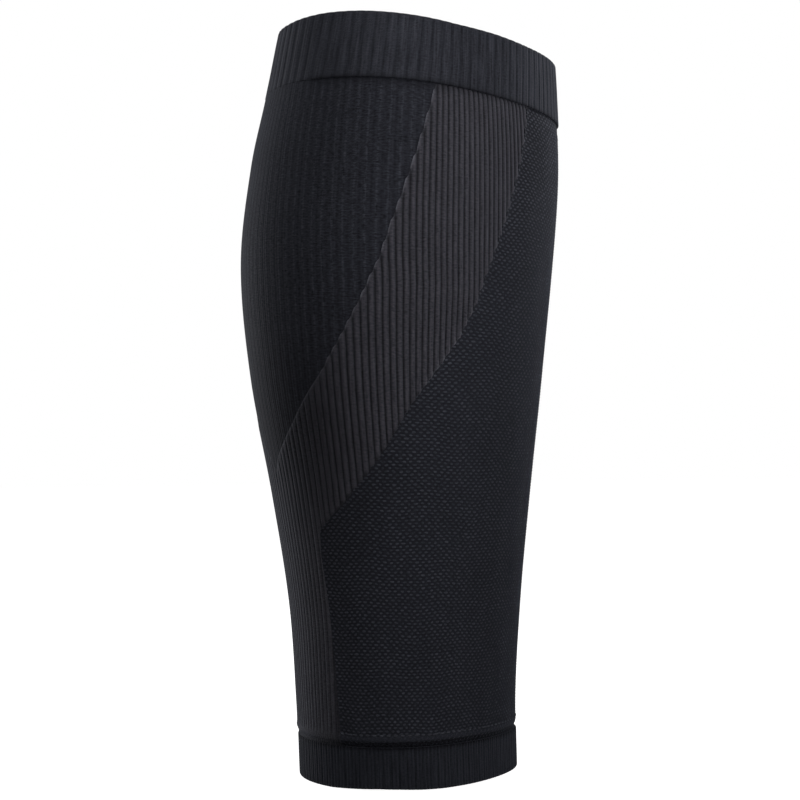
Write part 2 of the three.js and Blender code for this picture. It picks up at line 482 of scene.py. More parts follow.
def makeRibMask():
    # 1 along each rib and 0 in the groove beside it
    inputs = {"Share": "Float", "Ribs": "Float", "Low": "Float", "High": "Float"}
    group, given, made = startGroup("ribMask", inputs, {"Ridge": "Float"})
    turn = mathNode(group, "MULTIPLY", given["Share"], given["Ribs"])
    side = mathNode(group, "MULTIPLY", mathNode(group, "PINGPONG", turn, 0.5), 2.0)
    group.links.new(risingMask(group, side, given["Low"], given["High"]), made["Ridge"])
    return group


def makeKnitLoops():
    # slanted legs of the stitches as a height, a tone from stitch to stitch, and broken lines up and across
    inputs = {"Knit": "Vector", "Wales": "Float", "Courses": "Float", "Lines": "Float", "Runs": "Float"}
    outputs = {"Height": "Float", "Tone": "Float", "Streak": "Float", "Row": "Float"}
    group, given, made = startGroup("knitLoops", inputs, outputs)
    place = addNode(group, "SeparateXYZ", {0: given["Knit"]}).outputs
    wale = mathNode(group, "MULTIPLY", place[0], given["Wales"])
    course = mathNode(group, "MULTIPLY", place[1], given["Courses"])
    leg = mathNode(group, "PINGPONG", wale, 0.5)
    slanted = scaledSum(group, leg, yarn["slant"], course)
    loop = mathNode(group, "PINGPONG", slanted, 0.5)
    both = mathNode(group, "ADD", loop, leg)
    group.links.new(risingMask(group, both, yarn["loopLow"], yarn["loopHigh"]), made["Height"])
    line = mathNode(group, "MULTIPLY", place[0], given["Lines"])
    run = mathNode(group, "MULTIPLY", place[1], given["Runs"])
    wide = mathNode(group, "MULTIPLY", wale, yarn["rowStretch"])
    for label, across, up in (("Tone", wale, course), ("Streak", line, run), ("Row", wide, course)):
        cell = addNode(group, "CombineXYZ", {0: across, 1: up}).outputs[0]
        grain = {"Vector": cell, "Scale": 1.0, "Detail": 1.0}
        noise = addNode(group, "TexNoise", grain, noise_dimensions="2D")
        group.links.new(noise.outputs["Fac"], made[label])
    return group


def makeYarnFuzz():
    # slow change of tone over the cloth, and the fine hair of the yarn
    group, given, made = startGroup("yarnFuzz", {"Place": "Vector", "Patch": "Float", "Hair": "Float"},
                                    {"Tone": "Float", "Height": "Float"})
    parts = (("Patch", yarn["patchDetail"], "Tone"), ("Hair", yarn["hairDetail"], "Height"))
    for size, detail, label in parts:
        grain = {"Vector": given["Place"], "Scale": given[size], "Detail": detail}
        group.links.new(addNode(group, "TexNoise", grain).outputs["Fac"], made[label])
    return group


ribMask = makeRibMask()
knitLoops = makeKnitLoops()
yarnFuzz = makeYarnFuzz()
print("shared knit effects made")


def startMaterial(name):
    material = bpy.data.materials.new(name)
    material.use_nodes = True
    material.node_tree.nodes.clear()
    return material, material.node_tree


def startCloth(name):
    material, tree = startMaterial(name)
    knitMap = addNode(tree, "UVMap", uv_map="knit").outputs["UV"]
    place = addNode(tree, "TexCoord").outputs["Object"]
    share = addNode(tree, "SeparateXYZ", {0: knitMap}).outputs
    return material, tree, knitMap, share, place


def addYarn(tree, look, knitMap, place, ribs):
    # the stitches and the fuzz of one piece
    loops = addGroup(tree, knitLoops, {
        "Knit": knitMap,
        "Wales": ribs * look["wales"],
        "Courses": look["courses"],
        "Lines": look["lines"],
        "Runs": look["runs"],
    })
    return loops, addFuzz(tree, look, place)


def addFuzz(tree, look, place):
    return addGroup(tree, yarnFuzz, {"Place": place, "Patch": look["patches"], "Hair": look["hairs"]})


def addMark(tree, name):
    return addNode(tree, "Attribute", attribute_name=name).outputs["Fac"]


def finishCloth(tree, look, colour, tone, mottle, heights):
    # tone scales the yarn's colour, the painted shade in the crease mark darkens it unevenly, and the
    # heights are bumps in metres
    uneven = addNode(tree, "MapRange", {
        "Value": mottle,
        "From Min": yarn["spotFrom"],
        "From Max": yarn["spotTo"],
        "To Min": yarn["spotLeast"],
        "To Max": yarn["spotMost"],
    }).outputs[0]
    lost = mathNode(tree, "MULTIPLY", addMark(tree, "crease"), uneven)
    kept = mathNode(tree, "SUBTRACT", 1.0, lost)
    tone = mathNode(tree, "MULTIPLY", mathNode(tree, "MAXIMUM", tone, yarn["darkest"]), kept)
    scaled = addNode(tree, "VectorMath", {0: colour, "Scale": tone}, operation="SCALE").outputs[0]
    height = 0.0
    for bump, depth in heights:
        height = scaledSum(tree, bump, depth, height)
    normal = addNode(tree, "Bump", {"Height": height, "Distance": 1.0, "Strength": look["bump"]})
    shader = addNode(tree, "BsdfPrincipled", {
        "Base Color": scaled,
        "Roughness": look["roughness"],
        "Specular IOR Level": look["gloss"],
        "Specular Tint": yarn["sheenTint"],
        "Sheen Weight": look["sheen"],
        "Sheen Roughness": yarn["sheenRoughness"],
        "Sheen Tint": yarn["sheenTint"],
        "Normal": normal.outputs[0],
    })
    addNode(tree, "OutputMaterial", {"Surface": shader.outputs[0]})


def toneOf(tree, parts):
    # 1 plus each mask's swing about its middle
    tone = 1.0
    for mask, swing in parts:
        tone = scaledSum(tree, mathNode(tree, "SUBTRACT", mask, 0.5), swing, tone)
    return tone


# folded rib cuffs
cuff = {
    "proud": {"top": 0.0006, "bottom": 0.0001},
    "frontProud": 0.0006,  # the upper cuff's rim stands further off the shin
    "backShare": 0.25,
    "frontShare": 0.42,
    "rimRound": 0.0005,
    "creaseRound": 0.0005,
    "roundSteps": 3,
    "phases": [0, 0.12, 0.3, 0.5, 0.7, 0.88],
    # share of the girth from the centre back, and ribs per whole girth there
    "ribs": {
        "top": [(0, 131), (0.08, 134), (0.15, 154), (0.25, 172), (0.5, 174)],
        "bottom": [(0, 162), (0.10, 167), (0.20, 168), (0.30, 182), (0.5, 182)],
    },
    # share of the girth, and how far the ribs lean round the leg for each metre of height
    "lean": {
        "top": [(0, 0), (0.08, 0.10), (0.15, 0.03), (0.25, 0.175), (0.35, 0.425), (0.45, 0.2), (0.5, 0)],
        "bottom": [(0, 0), (0.5, 0)],
    },
    "pairDepth": {"top": 0.00026, "bottom": 0.00010},  # the groove beside every second rib
    "splitDepth": {"top": 0.00008, "bottom": 0.00020},  # the groove between
    "rowHeight": 0.0016,
    "rim": 0.3004,
    "foot": 0.0001,
    # share of the girth, and how far the free rim stands above its plane
    "hang": {
        "top": [(0, 0), (0.08, 0.0005), (0.13, 0.00045), (0.20, 0), (0.24, -0.00035), (0.30, -0.0001),
                (0.36, -0.00045), (0.5, -0.0003)],
        "bottom": [(0, -0.0005), (0.07, -0.0004), (0.103, 0), (0.15, 0.0004), (0.18, 0.0002),
                   (0.214, -0.0003), (0.25, -0.0006), (0.30, -0.0006), (0.36, -0.0004), (0.5, 0)],
    },
    "flat": {"top": (0.371, 0.0271), "bottom": (0.273, 0.0167)},
    "area": {"top": 0.00958, "bottom": 0.00448},
    # the grooves beside every second rib are darker: partly the yarn's own colour, partly painted shade in
    # them
    "ridge": {"top": (0.0223, 0.0232, 0.0288, 1), "bottom": (0.0153, 0.0162, 0.0205, 1)},
    "groove": {"top": (0.0153, 0.0161, 0.0201, 1), "bottom": (0.0125, 0.0134, 0.0168, 1)},
    # how much lighter each single rib is painted than its grooves, at the calf and towards the shin: partly
    # the yarn's own tone, partly painted shade in the grooves and painted highlight on the ribs, most
    # towards the shin
    "single": {"top": (0.16, 0.80), "bottom": (0.45, 0.45)},
    "boldFrom": 0.30,  # the ribs are bolder towards the shin, between these shares
    "boldTo": 0.37,
    # painted light: the upper cuff is painted lighter towards the shin
    "paintedShinLight": {"top": 0.20, "bottom": 0.0},
    "boldSplit": {"top": 2.5, "bottom": 1.0},  # how much deeper the grooves are there
    "calfFrom": 0.26,  # painted light: the upper cuff is painted lighter towards the calf, between these shares
    "calfTo": 0.16,
    "paintedCalfLight": {"top": 0.26, "bottom": 0.0},
    "pairFrom": 0.1,  # share of the way up a rib's side where its pair starts to be lighter
    "wales": 1.6,  # stitches across a rib
    "courses": 460,  # stitches up the leg
    "lines": 500,  # broken lines round the leg
    "runs": 25,  # breaks in each, up the leg
    "patches": 60.0,  # changes of tone in a metre
    "hairs": 2600.0,
    "loopBump": 0.00010,
    "hairBump": 0.00006,
    "speckle": 0.8,
    "streak": 1.1,
    "row": 0.3,
    "patch": 0.3,
    "bump": 0.8,
    "roughness": 0.85,
    "gloss": 0.05,
    "sheen": 0.08,
}


def cuffKnit(end, ribs):
    material, tree, knitMap, share, place = startCloth(end + "CuffKnit")
    pairRange = {"Share": share[0], "Ribs": ribs / 2, "Low": cuff["pairFrom"], "High": 1.0}
    pairs = addGroup(tree, ribMask, pairRange)["Ridge"]
    single = addGroup(tree, ribMask, {"Share": share[0], "Ribs": ribs, "Low": 0.0, "High": 1.0})["Ridge"]
    loops, fuzz = addYarn(tree, cuff, knitMap, place, ribs)
    colour = mixColour(tree, pairs, cuff["groove"][end], cuff["ridge"][end])
    front = addMark(tree, "front")
    calfSwing, shinSwing = cuff["single"][end]
    swing = addNode(tree, "MapRange", {"Value": front, "To Min": calfSwing, "To Max": shinSwing}).outputs[0]
    back = addMark(tree, "back")
    # this tone holds painted light towards the calf and the shin, and painted highlights on the single ribs
    # towards the shin
    tone = toneOf(tree, [(single, swing), (front, cuff["paintedShinLight"][end]), (back, cuff["paintedCalfLight"][end]),
                         (loops["Tone"], cuff["speckle"]), (loops["Row"], cuff["row"]),
                         (loops["Streak"], cuff["streak"]), (fuzz["Tone"], cuff["patch"])])
    bumps = [(loops["Height"], cuff["loopBump"]), (fuzz["Height"], cuff["hairBump"])]
    finishCloth(tree, cuff, colour, tone, loops["Tone"], bumps)
    return material


def makeCuff(end, low, high, rimLevel):
    spread = ribSpread(cuff["ribs"][end], cuff["lean"][end], low)
    proud = cuff["proud"][end]

    def frontness(at):
        return smoothRise(np.abs(at["share"]), cuff["boldFrom"], cuff["boldTo"])

    # mask of the painted light towards the calf
    def backness(at):
        return 1 - smoothRise(np.abs(at["share"]), cuff["calfTo"], cuff["calfFrom"])

    def relief(at):
        pairs = cuff["pairDepth"][end] * (ribWave(at["count"] / 2, 2) - 1)
        deeper = 1 + (cuff["boldSplit"][end] - 1) * frontness(at)
        ribs = pairs + cuff["splitDepth"][end] * deeper * (ribWave(at["count"], 2) - 1)
        if end == "bottom":
            return ribs
        up = smoothRise(at["level"], low, high)
        front = up * smoothRise(np.abs(at["share"]), cuff["backShare"], cuff["frontShare"])
        return ribs + cuff["frontProud"] * front - proud * (1 - creaseOpen(at)) * (1 - up)

    def hang(at):
        away = np.interp(np.abs(at["share"]), *np.array(cuff["hang"][end]).T)
        return away * np.clip(1 - np.abs(at["level"] - rimLevel) / (high - low), 0, 1)

    half = spread["ribs"] / 2
    columns = ribColumns(-half, half, cuff["phases"])
    rows = np.linspace(low, high, round((high - low) / cuff["rowHeight"]) + 1)
    ends = np.full(len(rows), half)
    bm = flatSheet(columns, rows, -ends, ends, spread["ribs"])
    thicken(bm, -knit["wall"], proud)
    side = knit["girth"] / 2 - knit["near"]
    seam = [face for face in bm.faces if all(abs(vert.co.x) > side for vert in face.verts)]
    bmesh.ops.delete(bm, geom=seam, context="FACES")
    rim, fold = [], []
    for edge in bm.edges:
        one, two = edge.verts
        along = abs(one.co.y - two.co.y) < knit["near"] and abs(one.co.z - two.co.z) < knit["near"]
        if along and abs(one.co.y - rimLevel) < knit["near"]:
            rim.append(edge)
        elif along and abs(one.co.y - (low + high - rimLevel)) < knit["near"] and one.co.z > 0:
            fold.append(edge)
    for edges, size in ((rim, cuff["rimRound"]), (fold, cuff["creaseRound"])):
        bmesh.ops.bevel(bm, geom=edges, offset=size, offset_type="OFFSET", segments=cuff["roundSteps"],
                        profile=0.5, affect="EDGES", material=-1)
    layKnitMap(bm)
    marks = {"crease": creaseShade, "front": frontness, "back": backness}
    wrapOnLeg(bm, -knit["wall"], proud, relief, marks, spread, hang)
    bmesh.ops.remove_doubles(bm, verts=bm.verts, dist=knit["near"])
    piece = knitPiece(bm, end + "Cuff", cuffKnit(end, spread["ribs"]), end + "_cuff")


makeCuff("top", knit["topCrease"] + knit["creaseGap"], cuff["rim"], cuff["rim"])
makeCuff("bottom", cuff["foot"], knit["bottomCrease"] - knit["creaseGap"], cuff["foot"])

# fine rib panel over the calf
calf = {
    "phases": [0, 0.25, 0.5, 0.75],
    "ribs": [(0, 180), (0.5, 180)],
    "pairDepth": 0.00006,
    "splitDepth": 0.00003,
    "flat": (0.161, 0.157),
    "area": 0.0174,
    "ground": (0.0136, 0.0142, 0.0179, 1),
    "line": (0.0236, 0.0248, 0.0309, 1),
    "lineFrom": 0.60,  # share of the way up a rib's side where its light line starts
    "streakFrom": 0.15,  # the line breaks off between these tones
    "streakTo": 0.5,
    "wales": 1.3,
    "courses": 520,
    "lines": 420,
    "runs": 70,
    "patches": 55.0,
    "hairs": 2600.0,
    "loopBump": 0.00012,
    "hairBump": 0.00006,
    # single ribs are painted lighter than their grooves: partly the yarn's own tone, partly painted shade
    # in the grooves
    "single": 0.24,
    "speckle": 1.2,
    "streak": 0.40,
    "row": 1.2,
    "sideDark": 0.35,  # shade beside the ribs of the band
    "sideWidth": 0.0009,
    "patch": 0.35,
    "bump": 0.8,
    "roughness": 0.88,
    "gloss": 0.05,
    "sheen": 0.08,
}
calfSpread = ribSpread(calf["ribs"], knit["panelLean"], knit["leanPivot"])


def calfKnit():
    material, tree, knitMap, share, place = startCloth("fineRibKnit")
    ribs = calfSpread["ribs"]
    lineRange = {"Share": share[0], "Ribs": ribs / 2, "Low": calf["lineFrom"], "High": 1.0}
    lines = addGroup(tree, ribMask, lineRange)["Ridge"]
    single = addGroup(tree, ribMask, {"Share": share[0], "Ribs": ribs, "Low": 0.0, "High": 1.0})["Ridge"]
    loops, fuzz = addYarn(tree, calf, knitMap, place, ribs)
    whole = risingMask(tree, loops["Streak"], calf["streakFrom"], calf["streakTo"])
    broken = mathNode(tree, "MULTIPLY", lines, whole)
    colour = mixColour(tree, broken, calf["ground"], calf["line"])
    tone = toneOf(tree, [(single, calf["single"]), (loops["Tone"], calf["speckle"]),
                         (loops["Row"], calf["row"]), (loops["Streak"], calf["streak"]),
                         (fuzz["Tone"], calf["patch"])])
    bumps = [(loops["Height"], calf["loopBump"]), (fuzz["Height"], calf["hairBump"])]
    finishCloth(tree, calf, colour, tone, loops["Tone"], bumps)
    return material


def calfRelief(at):
    pair, split = ribWave(at["count"] / 2, 2) - 1, ribWave(at["count"], 2) - 1
    return calf["pairDepth"] * pair + calf["splitDepth"] * split + creaseTuck(at)


def calfShade(at):
    away = (calfSide(at["level"]) - np.abs(at["share"])) * knit["girth"]
    upper = smoothRise(at["level"], knit["lineTop"] - knit["lineFade"], knit["lineTop"])
    beside = calf["sideDark"] * upper * (1 - smoothRise(away, 0, calf["sideWidth"]))
    return np.maximum(creaseShade(at), beside)


def makeCalfPanel():
    rows = panelRows(knit["fork"])
    side = ribCounts(calfSpread, np.maximum(calfSide(rows) - knit["gap"] / knit["girth"], 0), rows)
    columns = ribColumns(-side.max(), side.max(), calf["phases"])
    bm = flatSheet(columns, rows, -side, side, calfSpread["ribs"])
    thicken(bm, -knit["wall"], 0)
    layKnitMap(bm)
    wrapOnLeg(bm, -knit["wall"], 0, calfRelief, {"crease": calfShade}, calfSpread)
    piece = knitPiece(bm, "calfPanel", calfKnit(), "calf_panel")


makeCalfPanel()

# bold rib band: two arms that meet in a V and go on as one strip
band = {
    "phases": [0, 0.10, 0.27, 0.5, 0.73, 0.90],
    "rise": 0.00025,  # ridges above the panels beside the band
    "depth": 0.00075,
    "power": {"low": 0.45, "high": 0.7},  # the ribs are broader lower down
    "groove": {"low": 0.60, "high": 0.9},
    "broadTo": 0.14,
    "broadFrom": 0.24,
    "faintFrom": 0.03,  # the ribs grow bolder between these shares of the girth
    "boldFrom": 0.14,
    "faintDepth": 0.35,
    "faintColour": 0.35,
    "ribFoot": 0.0195,  # the ribs run out in the roll above the lower crease
    "ribFull": 0.0225,
    "endTaper": 0.0013,
    "endHeight": 0.25,  # share of its height that a rib keeps at its lower end
    "endMargin": 0.003,  # how far below the foot of the arms ribs still end on the mesh
    "topTaper": 0.0035,
    "topHeight": 0.4,  # share of its height that a rib keeps at its top
    # painted shadow at the lower ends of the ribs, where they meet the mesh
    "endDark": 0.8,
    "lineWidth": 0.0011,  # light yarn along the border with the calf panel
    "lineStart": 0.001,  # half of the height over which it starts at the V
    "spike": 0.0050,  # length of the painted highlights on the rib tips there
    "tipHighlight": 0.85,
    "flankWidth": 0.0009,
    "innerFlank": (0.4, 0.8),  # shares of a rib's width over which the painted highlight on its inner flank ends
    "outerFlank": (0.5, 0.8),  # and over which the painted highlight on its outer flank starts
    "edgeRise": 0.00020,
    "flush": -0.00008,  # height at the border with the calf panel
    "flushWidth": 0.0014,
    "flat": (0.260, 0.264),
    "area": 0.0207,
    # the valleys between the ribs are darker: partly the yarn's own colour, partly painted shade in them
    "ridge": (0.0340, 0.0332, 0.0395, 1),
    "middle": (0.0231, 0.0225, 0.0255, 1),
    "valley": (0.0140, 0.0137, 0.0163, 1),
    # light yarn of the line down to the V, also used for the painted highlights on the rib tips
    "edge": (0.075, 0.075, 0.088, 1),
    "wales": 1.6,
    "courses": 420,
    "lines": 420,
    "runs": 30,
    "patches": 60.0,
    "hairs": 2600.0,
    "loopBump": 0.00010,
    "hairBump": 0.00006,
    "speckle": 1.0,
    "streak": 0.6,
    "row": 0.3,
    "patch": 0.3,
    "bump": 0.8,
    "roughness": 0.85,
    "gloss": 0.05,
    "sheen": 0.13,
}


def bandKnit():
    material, tree, knitMap, share, place = startCloth("boldRibKnit")
    ribs = bandSpread["ribs"]
    breadth = addNode(tree, "MapRange", {
        "Value": share[1],
        "From Min": band["broadTo"] / legForm["height"],
        "From Max": band["broadFrom"] / legForm["height"],
        "To Min": band["groove"]["low"],
        "To Max": band["groove"]["high"],
    }).outputs[0]
    ridge = addGroup(tree, ribMask, {"Share": share[0], "Ribs": ribs, "Low": 0.0, "High": breadth})["Ridge"]
    loops, fuzz = addYarn(tree, band, knitMap, place, ribs)
    colour = mixColour(tree, ridge, band["valley"], band["ridge"])
    colour = mixColour(tree, addMark(tree, "bold"), band["middle"], colour)
    # painted shadow at the ribs' lower ends
    colour = mixColour(tree, addMark(tree, "end"), colour, band["valley"])
    # light yarn along the V, and painted highlights on the rib tips
    colour = mixColour(tree, addMark(tree, "edge"), colour, band["edge"])
    tone = toneOf(tree, [(loops["Tone"], band["speckle"]), (loops["Row"], band["row"]),
                         (loops["Streak"], band["streak"]), (fuzz["Tone"], band["patch"])])
    bumps = [(loops["Height"], band["loopBump"]), (fuzz["Height"], band["hairBump"])]
    finishCloth(tree, band, colour, tone, loops["Tone"], bumps)
    return material


def ribBoldness(at, faint):
    bold = faint + (1 - faint) * smoothRise(np.abs(at["share"]), band["faintFrom"], band["boldFrom"])
    return bold * smoothRise(at["level"], band["ribFoot"], band["ribFull"])


def ribMiddle(at):
    return ribPlace(bandSpread, np.floor(np.abs(at["count"])) + 0.5, at["level"])


def ribEndHeight(at):
    # height above the end of the rib, on the border with the mesh
    arm = borders[borders[:, 0] > knit["armFoot"] - band["endMargin"]]
    middle = ribMiddle(at)
    return np.where(middle > arm[0, 2], at["level"] - np.interp(middle, arm[:, 2], arm[:, 0]), 1)


def ribTopDepth(at):
    # depth below the top of the rib, on the border with the calf panel
    arm = borders[borders[:, 0] >= knit["fork"]]
    return np.interp(ribMiddle(at), arm[:, 1], arm[:, 0]) - at["level"]


# painted shadow at the ribs' ends on the border with the mesh, lower down the arms
def ribEndShade(at):
    lower = 1 - smoothRise(at["level"], knit["lineTop"] - knit["endFade"], knit["lineTop"])
    return band["endDark"] * lower * (1 - smoothRise(ribEndHeight(at), 0, band["endTaper"]))


def bandLineAndHighlight(at):
    # light yarn in a line along the border down to the V, and painted highlights on the flanks of the rib
    # tips higher up
    level = at["level"]
    upper = smoothRise(level, knit["lineTop"] - knit["lineFade"], knit["lineTop"])
    away = (np.abs(at["share"]) - calfBorder(level)) * knit["girth"]
    line = (1 - smoothRise(away, 0, band["lineWidth"])) * (1 - upper)
    line = line * smoothRise(level, knit["fork"] - band["lineStart"], knit["fork"] + band["lineStart"])
    across = np.abs(at["count"]) % 1
    inside = (np.abs(at["share"]) - calfSide(level)) * knit["girth"]
    inner = (1 - smoothRise(inside, 0, band["flankWidth"])) * (1 - smoothRise(across, *band["innerFlank"]))
    outer = (1 - smoothRise(ribEndHeight(at), 0, band["spike"])) * smoothRise(across, *band["outerFlank"])
    return np.maximum(line, band["tipHighlight"] * upper * np.maximum(inner, outer))


def bandRelief(at):
    depth = band["depth"] * ribBoldness(at, band["faintDepth"])
    rise = smoothRise(ribEndHeight(at), 0, band["endTaper"])
    fall = smoothRise(ribTopDepth(at), -band["topTaper"] / 2, band["topTaper"])
    end = band["endHeight"] + (1 - band["endHeight"]) * rise
    top = band["topHeight"] + (1 - band["topHeight"]) * fall
    low, high = band["power"]["low"], band["power"]["high"]
    power = low + (high - low) * smoothRise(at["level"], band["broadTo"], band["broadFrom"])
    ribs = depth * (ribWave(at["count"], power) * end * top - 1)
    proud = band["rise"] + ribs + band["edgeRise"] * bandLineAndHighlight(at)
    away = (np.abs(at["share"]) - calfSide(at["level"])) * knit["girth"]
    strip = at["level"] < knit["fork"] - band["flushWidth"]
    beside = np.where(strip, 1, smoothRise(away, 0, band["flushWidth"]))
    return band["flush"] + (proud - band["flush"]) * beside + creaseTuck(at)


def makeRibBand():
    rows = panelRows(0)
    part = knit["gap"] / knit["girth"]
    low = np.where(rows > knit["fork"], ribCounts(bandSpread, calfSide(rows) + part, rows), 0)
    high = ribCounts(bandSpread, shinSide(rows) - part, rows)
    bm = flatSheet(ribColumns(0, high.max(), band["phases"]), rows, low, high, bandSpread["ribs"])
    bmesh.ops.mirror(bm, geom=bm.verts[:] + bm.edges[:] + bm.faces[:], matrix=Matrix(), axis="X",
                     merge_dist=knit["near"])
    thicken(bm, -knit["wall"], 0)
    layKnitMap(bm)
    marks = {"crease": shinShade, "edge": bandLineAndHighlight, "end": ribEndShade,
             "bold": lambda at: ribBoldness(at, band["faintColour"])}
    wrapOnLeg(bm, -knit["wall"], 0, bandRelief, marks, bandSpread)
    piece = knitPiece(bm, "ribBand", bandKnit(), "rib_band")


makeRibBand()

# dotted mesh round the shin and the lower leg
mesh = {
    "depth": 0.0006,
    "flat": (0.264, 0.252),
    "area": 0.0510,
    "dot": (0.0373, 0.0390, 0.0488, 1),
    "ground": (0.0124, 0.0131, 0.0164, 1),
    "bead": (0.0178, 0.0188, 0.0238, 1),
    "dotWidth": 0.62,  # half of a dot, in half spaces between dots
    "dotHeight": 0.34,  # half of a dot, in rows
    "dotEdge": 0.65,
    "dimmest": 0.42,
    "rowLight": 0.06,  # how light the yarn between the dots of a row is
    "wander": 0.45,  # how far a dot may stand off its place
    "wanderScale": 0.5,  # how fast that changes from dot to dot
    "dotBump": 0.00025,
    "beadRows": (-0.9, 0.1),  # the dots start between these rows
    "hollow": -0.2,  # below this the hollows between dots are joined across
    # the rows wave a little: height, waves in a girth, slant up the leg, start
    "waves": [(0.00030, 9, 40, 0.0), (0.00014, 19, -90, 1.7)],
    "topPaintedContrast": 0.8,  # painted light and shade: towards the upper crease the dots are painted lighter and the ground between them darker
    "topFrom": 0.20,
    "topTo": 0.27,
    "sideDark": 0.25,  # shade beside the arms
    "sideWidth": 0.0009,
    "sideRise": 0.01,  # height over which that shade starts
    "wales": 2.5,
    "courses": 480,
    "lines": 240,
    "runs": 100,
    "patches": 55.0,
    "hairs": 2600.0,
    "hairBump": 0.00006,
    "speckle": 0.9,
    "row": 0.6,
    "patch": 0.3,
    "bump": 0.8,
    "roughness": 0.88,
    "gloss": 0.05,
    "sheen": 0.08,
}


def meshKnit():
    material, tree, knitMap, share, place = startCloth("dottedMeshKnit")
    rowsPerHeight = legForm["height"] / knit["row"]
    across = mathNode(tree, "MULTIPLY", share[0], knit["dots"] * 2)
    row = scaledSum(tree, share[1], rowsPerHeight, -meshBase / knit["row"])
    spot = addNode(tree, "CombineXYZ", {0: across, 1: row}).outputs[0]
    grain = {"Vector": spot, "Scale": mesh["wanderScale"], "Detail": 1.0}
    drift = addNode(tree, "TexNoise", grain, noise_dimensions="2D")
    shift = addNode(tree, "SeparateXYZ", {0: drift.outputs["Color"]}).outputs
    moved = []
    for along, noise, most in ((across, shift[0], mesh["wander"] * 2), (row, shift[1], mesh["wander"])):
        moved.append(scaledSum(tree, mathNode(tree, "SUBTRACT", noise, 0.5), most, along))
    line = mathNode(tree, "ROUND", moved[1])
    offRow = mathNode(tree, "DIVIDE", mathNode(tree, "SUBTRACT", moved[1], line), mesh["dotHeight"])
    staggered = mathNode(tree, "ADD", moved[0], line)
    offDot = mathNode(tree, "DIVIDE", mathNode(tree, "PINGPONG", staggered, 1.0), mesh["dotWidth"])
    farUp = mathNode(tree, "POWER", offRow, 2.0)
    far = mathNode(tree, "ADD", farUp, mathNode(tree, "POWER", offDot, 2.0))
    dots = risingMask(tree, mathNode(tree, "SUBTRACT", 1.0, far), 0.0, mesh["dotEdge"])
    number = mathNode(tree, "ROUND", mathNode(tree, "MULTIPLY", staggered, 0.5))
    cell = addNode(tree, "CombineXYZ", {0: number, 1: line}).outputs[0]
    chance = addNode(tree, "TexWhiteNoise", {"Vector": cell}, noise_dimensions="2D").outputs["Value"]
    seen = addNode(tree, "MapRange", {"Value": chance, "To Min": mesh["dimmest"]}).outputs[0]
    loops, fuzz = addYarn(tree, mesh, knitMap, place, knit["dots"])
    onRow = risingMask(tree, mathNode(tree, "SUBTRACT", 1.0, farUp), 0.0, 1.0)
    light = mathNode(tree, "MAXIMUM", mathNode(tree, "MULTIPLY", dots, seen),
                     mathNode(tree, "MULTIPLY", onRow, mesh["rowLight"]))
    colour = mixColour(tree, light, mesh["ground"], mesh["dot"])
    colour = mixColour(tree, risingMask(tree, row, *mesh["beadRows"]), mesh["bead"], colour)
    # painted light and shade on the dots towards the upper crease
    upper = {"Value": share[1], "From Min": mesh["topFrom"] / legForm["height"],
             "From Max": mesh["topTo"] / legForm["height"], "To Max": mesh["topPaintedContrast"]}
    paintedContrast = addNode(tree, "MapRange", upper).outputs[0]
    tone = toneOf(tree, [(loops["Tone"], mesh["speckle"]), (loops["Row"], mesh["row"]),
                         (fuzz["Tone"], mesh["patch"]), (dots, paintedContrast)])
    bumps = [(dots, mesh["dotBump"]), (fuzz["Height"], mesh["hairBump"])]
    finishCloth(tree, mesh, colour, tone, loops["Tone"], bumps)
    return material


def meshWobble(share, level):
    return sum(height * np.sin(2 * math.pi * turns * share + slant * level + start)
               for height, turns, slant, start in mesh["waves"])


def dotWave(share, level):
    row = (level + meshWobble(share, level) - meshBase) / knit["row"]
    inside = smoothRise(row, -1, 0) * smoothRise(knit["topCrease"] - knit["tuck"] - level, -knit["row"], 0)
    return inside * np.cos(2 * math.pi * share * knit["dots"]) * np.cos(math.pi * row)


def meshRelief(at):
    away = (aroundBack(at["share"]) - shinSide(at["level"])) * knit["girth"]
    dots = (dotWave(at["share"], at["level"]) - 1) * smoothRise(away, 0, mesh["sideWidth"])
    return mesh["depth"] * dots / 2 + creaseTuck(at)


def meshShade(at):
    away = (aroundBack(at["share"]) - shinBorder(at["level"])) * knit["girth"]
    arms = smoothRise(at["level"], knit["armFoot"] - mesh["sideRise"], knit["armFoot"])
    arms = arms * (1 - smoothRise(at["level"], knit["lineTop"] - knit["endFade"], knit["lineTop"]))
    return np.maximum(shinShade(at), mesh["sideDark"] * arms * (1 - smoothRise(away, 0, mesh["sideWidth"])))


def makeShinPanel():
    rows = panelRows(0)
    low = shinSide(rows) + knit["gap"] / knit["girth"]
    first = math.floor(low.min() * knit["dots"] * 2)
    columns = np.arange(first, knit["dots"] * 2 - first + 1) / knit["dots"] / 2
    bm = flatSheet(columns, rows, low, 1 - low, 1)
    flat = np.array([vert.co[:] for vert in bm.verts])
    hollow = dotWave(flat[:, 0] / knit["girth"], flat[:, 1]) < mesh["hollow"]
    bmesh.ops.connect_verts(bm, verts=[vert for vert, deep in zip(bm.verts, hollow) if deep])
    thicken(bm, -knit["wall"], 0)
    layKnitMap(bm, meshWobble)
    wrapOnLeg(bm, -knit["wall"], 0, meshRelief, {"crease": meshShade})
    piece = knitPiece(bm, "shinPanel", meshKnit(), "shin_panel")


makeShinPanel()

